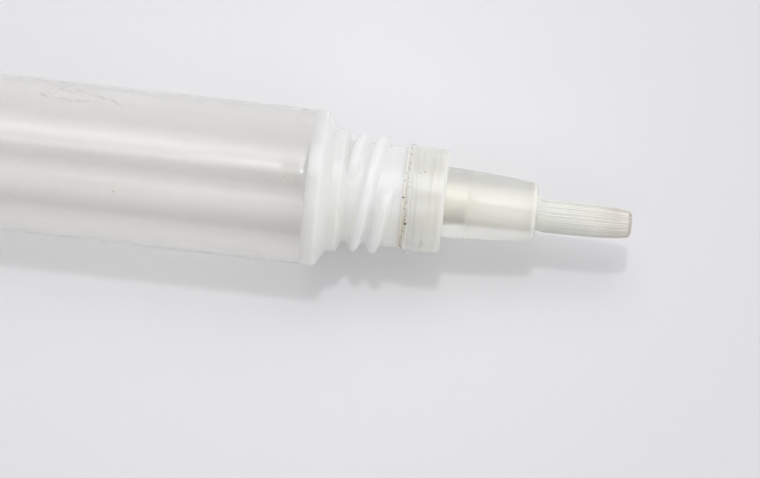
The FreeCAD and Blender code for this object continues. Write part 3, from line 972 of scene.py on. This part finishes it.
# Dried residue, painted shade and painted glints. The rim's dots are (millimetres ahead of the
# collar's rear, T, size), and the sleeve's dots and painted glints (S, T, size), with their sizes
# in millimetres.
RESIDUE_SEED = 11
CRUST_COLUMNS = 180
CRUST_WAVES = range(2, 26)
CRUST_SECTION = ((-1, -1), (-1, 0.5), (-0.5, 1), (0.5, 1), (1, 0.5), (1, -1))
CRUST_REAR = NECK_END + NECK_EXTRA - 0.16 * MM
CRUST_FRONT = COLLAR_REAR + RIM_SHIFT + 0.05 * MM
CRUST_RADIUS = 4.95 * MM
CRUST_HEIGHT = 0.25 * MM
CRUST_SWELL = 0.03 * MM
# The dots at T 41 to 51, on the collar's rear edge, are painted shade in a dark gap of the seam.
RIM_SPECKS_AND_GAP_SHADE = (
    (-0.05, 3, 0.085), (0.4, 29, 0.15), (0.25, -32, 0.08), (0.3, 25, 0.07), (0.0, -22, 0.06),
    (-0.05, -14, 0.06), (0.2, 15, 0.055), (1.8, -25, 0.07), (1.4, -23, 0.05), (0.35, -8, 0.045),
    (0.3, 8, 0.04), (0.45, 20, 0.05), (0.3, 37, 0.06), (0.1, 42, 0.07), (0.35, -41, 0.06),
    (0.25, -47, 0.05), (0.15, -27, 0.045), (0.4, 33, 0.045), (0.3, -17, 0.035), (0.0, 41, 0.08),
    (0.02, 44, 0.09), (0.0, 46.5, 0.1), (0.03, 49, 0.09), (0.0, 51, 0.08), (0.35, 22, 0.06),
    (0.42, 17, 0.05),
)
SEAM_DOT_RADIUS = 5.2 * MM
SMALL_DOTS = 90
SMALL_DOT_PLACES_MM = (0.22, 0.64)
SMALL_DOT_SIZES_MM = (0.02, 0.04)
SLEEVE_DOTS = (
    (107, 7, 0.1), (114, 4, 0.09), (117, 3.5, 0.11), (119, 30, 0.11), (298, -72, 0.12),
    (301, -71, 0.08), (231, 35, 0.09), (20, 17, 0.11), (288, -5, 0.15), (291.5, -4, 0.12),
    (286, -1, 0.1), (290, -8, 0.1), (294, -6, 0.08), (324, 65, 0.09), (325, 69, 0.08),
)
# Painted highlights: white blobs where the sleeve and the head's edge shine.
PAINTED_GLINTS = ((304, -11, 0.13), (314, -8, 0.09))
BLOB_RINGS = 4
BLOB_SIDES = 9
BLOB_SINK = 0.5
BLOB_ROUGH = 0.18
BLOB_SIZES = (0.8, 1.2)

# The dried film's edge on the sleeve and the hair on the collar: paths of (S, T).
FILM_SEED = 5
FILM_STEPS = 12
FILM_WIDTH = 0.24 * MM
FILM_LIFT = 0.012 * MM
FILM_SECTION = ((-1, -1), (-1, 0.2), (0, 1), (1, 0.2), (1, -1))
FILM_WANDER_PX = (0.5, 0.3)
FILM_EDGES = (
    ((35, -59), (41, -61), (47, -66), (54, -68), (66, -66), (73, -69), (79, -66), (88, -65),
     (98, -62), (108, -61), (115, -57), (118, -53)),
    ((35, -59), (44, -57), (56, -58), (70, -55), (84, -57)),
    ((20, -74), (27, -72), (38, -71), (52, -72)),
)
HAIR = (((429, 43), (429.6, 46), (428.8, 49), (426.5, 51.2)),)
HAIR_WIDTH = 0.09 * MM


def shown_at(s_px, t_px, radius):
    """Where the picture shows a cylinder's upper side: how far along, and the angle round it."""
    _, down = picture_axes()
    across_px = t_px - AXIS_T_PX
    radius_px = PX_PER_MM * radius / MM
    nearer_px = math.sqrt(max(0.0, radius_px ** 2 - across_px ** 2))
    closer = 1 + nearer_px / (FRAME_WIDTH_PX * LENS / SENSOR)
    ahead_px = CENTRE_S_PX - SHOULDER_S_PX + (s_px - CENTRE_S_PX) / closer
    share = across_px / closer / (radius_px * math.hypot(down.y, down.z))
    angle = math.atan2(down.z, down.y) - math.acos(max(-1.0, min(1.0, share)))
    return SHOULDER + ahead_px / PX_PER_MM * MM, angle


def blob(along, angle, radius, size, dice, points, faces):
    """A small flat lump that sits half sunk in a surface of revolution."""
    outward = np.array((0, math.cos(angle), math.sin(angle)))
    sideways = np.array((0, -math.sin(angle), math.cos(angle)))
    centre = np.array((along, 0, AXIS_HEIGHT)) + outward * radius
    sunk = size * BLOB_SINK
    first = len(points)
    wide, tall = size * dice.uniform(*BLOB_SIZES), size * dice.uniform(*BLOB_SIZES)
    points.append(centre - outward * sunk)
    for ring in range(1, BLOB_RINGS):
        lean = math.pi * ring / BLOB_RINGS
        for side in range(BLOB_SIDES):
            turn = math.tau * side / BLOB_SIDES
            out = math.sin(lean) * (1 + dice.uniform(-BLOB_ROUGH, BLOB_ROUGH))
            points.append(centre + np.array((1, 0, 0)) * wide * out * math.cos(turn)
                          + sideways * tall * out * math.sin(turn)
                          - outward * sunk * math.cos(lean))
    points.append(centre + outward * sunk)
    last = len(points) - 1
    faces += grid_faces(BLOB_RINGS - 1, BLOB_SIDES, first=first + 1)
    for side in range(BLOB_SIDES):
        after = (side + 1) % BLOB_SIDES
        faces.append((first, first + 1 + after, first + 1 + side))
        faces.append((last - BLOB_SIDES + side, last - BLOB_SIDES + after, last))


def add_crust(material, dice):
    """The uneven crust that has dried in the seam under the collar."""
    waves = [(dice.uniform(0, math.tau), number, dice.uniform(0.3, 1) / number)
             for number in CRUST_WAVES]
    points = []
    for column in range(CRUST_COLUMNS):
        angle = math.tau * column / CRUST_COLUMNS
        swell = sum(height * math.sin(number * angle + start) for start, number, height in waves)
        for along, away in CRUST_SECTION:
            height = CRUST_RADIUS + CRUST_HEIGHT * away + (CRUST_SWELL * swell if away > 0 else 0)
            points.append(((CRUST_REAR + CRUST_FRONT) / 2 + (CRUST_FRONT - CRUST_REAR) / 2 * along,
                           height * math.cos(angle), AXIS_HEIGHT + height * math.sin(angle)))
    faces = grid_faces(CRUST_COLUMNS, len(CRUST_SECTION), True)
    add_piece("seam_residue", points, faces, material, "applicator")


def add_rim_specks_and_gap_shade(material, dice):
    """Dark specks on the seam, the rim and the collar, and dark blobs that paint shade in a gap of
    the seam.
    """
    points, faces = [], []
    for along_mm, t_px, size_mm in RIM_SPECKS_AND_GAP_SHADE:
        radius = COLLAR_RADIUS
        if along_mm <= RIM_SHIFT / MM:
            radius = SEAM_DOT_RADIUS
        elif along_mm < (RIM_SHIFT + RIM_LENGTH) / MM:
            radius = RIM_RADIUS
        _, angle = shown_at(CENTRE_S_PX, t_px, radius)
        blob(COLLAR_REAR + along_mm * MM, angle, radius, size_mm * MM, dice, points, faces)
    for _ in range(SMALL_DOTS):
        along = COLLAR_REAR + dice.uniform(*SMALL_DOT_PLACES_MM) * MM
        angle = dice.uniform(0, math.tau)
        size = dice.uniform(*SMALL_DOT_SIZES_MM) * MM
        blob(along, angle, RIM_RADIUS, size, dice, points, faces)
    add_piece("rim_specks_and_gap_shade", points, faces, material, "applicator", sharp=80)


def add_sleeve_blobs(name, dots, material, dice):
    """Blobs on the sleeve and the head's edge, sunk as the sleeve draws in: dust specks, and white
    ones that are painted glints.
    """
    points, faces = [], []
    for s_px, t_px, size_mm in dots:
        along, angle = shown_at(s_px, t_px, TUBE_RADIUS)
        radius = TUBE_RADIUS
        if along < SLEEVE_END:
            radius -= neck_in(along) * float(drawn_share(math.sin(angle)))
        blob(along, angle, radius, size_mm * MM, dice, points, faces)
    add_piece(name, points, faces, material, "tube", sharp=80)


def add_film(name, paths, radius, width, body, material):
    """Thin wandering ribbons on a cylinder, through places in the picture."""
    dice = random.Random(FILM_SEED)
    wander_s, wander_t = FILM_WANDER_PX
    points, faces = [], []
    for path in paths:
        places = np.linspace(0, len(path) - 1, FILM_STEPS * (len(path) - 1) + 1)
        s_run = np.interp(places, range(len(path)), [place[0] for place in path])
        t_run = np.interp(places, range(len(path)), [place[1] for place in path])
        faces += strand_faces(len(places), len(FILM_SECTION), len(points))
        for s_px, t_px in zip(s_run, t_run):
            along, angle = shown_at(s_px + dice.uniform(-wander_s, wander_s),
                                    t_px + dice.uniform(-wander_t, wander_t), radius)
            half = dice.uniform(0.5, 1) * width / 2
            for turn, lift in FILM_SECTION:
                side = angle + turn * half / radius
                away = radius + lift * FILM_LIFT
                points.append((along, away * math.cos(side), AXIS_HEIGHT + away * math.sin(side)))
    add_piece(name, points, faces, material, body, sharp=80)


# The stage.
PAPER_REACH = 1.5


def add_floor(material):
    reach = PAPER_REACH
    mesh = bpy.data.meshes.new("paper")
    mesh.from_pydata([(-reach, -reach, 0), (reach, -reach, 0), (reach, reach, 0),
                      (-reach, reach, 0)], [], [(0, 1, 2, 3)])
    mesh.materials.append(material)
    floor = bpy.data.objects.new("paper", mesh)
    bpy.context.scene.collection.objects.link(floor)


# The lamp's elevation and azimuth over the tube in degrees, azimuth 0 from +Y and 90 from +X,
# its distance, its size in metres and its power.
LAMP_ELEVATION = 75
LAMP_AZIMUTH = -5
LAMP_DISTANCE = 1.6
LAMP_SIZE = 0.11
LAMP_POWER = 3.5


def add_lamp():
    data = bpy.data.lights.new("lamp", "AREA")
    data.shape = "DISK"
    data.size = LAMP_SIZE
    data.energy = LAMP_POWER
    lamp = bpy.data.objects.new("lamp", data)
    bpy.context.scene.collection.objects.link(lamp)
    e, a = math.radians(LAMP_ELEVATION), math.radians(LAMP_AZIMUTH)
    way = Vector((math.sin(a) * math.cos(e), math.cos(a) * math.cos(e), math.sin(e)))
    lamp.location = Vector((SHOULDER, 0, AXIS_HEIGHT)) + way * LAMP_DISTANCE
    lamp.rotation_mode = "QUATERNION"
    lamp.rotation_quaternion = way.to_track_quat("Z", "Y")
    lamp.visible_glossy = False


# The room's brightness. Across the tube, in the band that it mirrors, it goes by the angle over
# the tube in degrees from the front horizon: each step has the angle that it ends at and its
# level. Towards the tube's two ends the room has a level each.
ROOM_STEPS = (
    (38, 0.0), (50, 0.22), (62, 1.05), (74, 0.95), (86, 0.15), (96, 0.19), (102, 2.18),
    (110, 1.49), (117, 2.71), (124, 3.19), (130, 2.18), (140, 1.49), (150, 0.27), (165, 0.08),
    (180, 0.31),
)
STEP_BLUR = 0.3
REAR_LEVEL = 0.585
FRONT_LEVEL = 0.97
BAND_CENTRE = -0.05
BAND_INSIDE = 0.22
BAND_OUTSIDE = 0.32
BACKGROUND = (0.82, 0.82, 0.86)


def add_room():
    """A world that lights the tube by the steps, and that the camera sees as a plain colour."""
    world = bpy.data.worlds.new("room")
    bpy.context.scene.world = world
    world.use_nodes = True
    tree = world.node_tree
    tree.nodes.clear()
    coordinates = add_node(tree, "TexCoord", {}).outputs["Generated"]
    axes = add_node(tree, "SeparateXYZ", {0: coordinates}).outputs
    towards_front = add_maths(tree, "MULTIPLY", axes["Y"], -1.0)
    angle = add_maths(tree, "ARCTAN2", axes["Z"], towards_front)
    stops, start = [], 0
    for end, level in ROOM_STEPS:
        for degrees in (start + STEP_BLUR, end - STEP_BLUR):
            stops.append((degrees / 180, (level, level, level)))
        start = end
    across = add_ramp(tree, add_maths(tree, "DIVIDE", angle, math.pi), stops)
    aside = add_maths(tree, "SUBTRACT", axes["X"], BAND_CENTRE)
    outside = add_node(tree, "MapRange", {
        "Value": add_maths(tree, "ABSOLUTE", aside),
        "From Min": BAND_INSIDE, "From Max": BAND_OUTSIDE}, interpolation_type="SMOOTHSTEP")
    in_front = add_maths(tree, "GREATER_THAN", aside, 0.0)
    ends = add_maths(tree, "MULTIPLY_ADD", in_front, FRONT_LEVEL - REAR_LEVEL, REAR_LEVEL)
    strength = add_node(tree, "Mix", {0: outside.outputs["Result"], 2: across, 3: ends})
    lit = add_node(tree, "Background", {"Color": (1, 1, 1), "Strength": strength.outputs[0]})
    seen = add_node(tree, "Background", {"Color": BACKGROUND})
    by_camera = add_node(tree, "LightPath", {}).outputs["Is Camera Ray"]
    mixed = add_node(tree, "MixShader", {0: by_camera, 1: lit.outputs[0], 2: seen.outputs[0]})
    add_node(tree, "OutputWorld", {"Surface": mixed.outputs[0]})


bpy.context.scene.view_settings.view_transform = "Standard"
light_paths = bpy.context.scene.cycles
light_paths.blur_glossy = 0.0
light_paths.max_bounces = 24
light_paths.transmission_bounces = 24
light_paths.glossy_bounces = 12
light_paths.diffuse_bounces = 10
add_camera()
add_room()
add_lamp()
add_floor(paper_material())
add_sleeve(sleeve_material())
add_head(head_material())
add_collar(collar_material())
add_ferrule(ferrule_material())
add_ring("channel_residue", COLLAR_FLOOR + RESIDUE_SHIFT, ROOT_REAR, CORE_RADIUS - RESIDUE_WALL,
         channel_material())
add_ring("bristle_root", ROOT_REAR, ROOT_FRONT, ROOT_HOLE, root_material(),
         ("tuft_root",))
add_core(core_material())
add_bristles(bristle_material())

residue_dice = random.Random(RESIDUE_SEED)
# The crust's third colour, low on its side, is partly real staining and partly painted shade in
# the seam.
add_crust(mark_material("dried_crust", (0.88, 0.86, 0.79), (0.94, 0.93, 0.89),
                           (0.77, 0.73, 0.61)), residue_dice)
add_rim_specks_and_gap_shade(mark_material("dried_specks_and_gap_shade", (0.07, 0.045, 0.02), (0.2, 0.13, 0.07)),
               residue_dice)
add_sleeve_blobs("sleeve_specks", SLEEVE_DOTS,
                  mark_material("brown_dust", (0.56, 0.50, 0.44), (0.68, 0.63, 0.57)),
                  residue_dice)
# White blobs that are painted glints.
add_sleeve_blobs("sleeve_painted_glints", PAINTED_GLINTS,
                  mark_material("white_painted_glints", (0.97, 0.97, 0.95), (0.99, 0.99, 0.97)),
                  residue_dice)
add_film("dried_film", FILM_EDGES, TUBE_RADIUS, FILM_WIDTH, "tube",
         mark_material("dried_film_edge", (0.58, 0.55, 0.52), (0.76, 0.73, 0.70)))
add_film("collar_hair", HAIR, COLLAR_RADIUS, HAIR_WIDTH, "applicator",
         mark_material("dark_hair", (0.34, 0.31, 0.27), (0.44, 0.41, 0.37)))
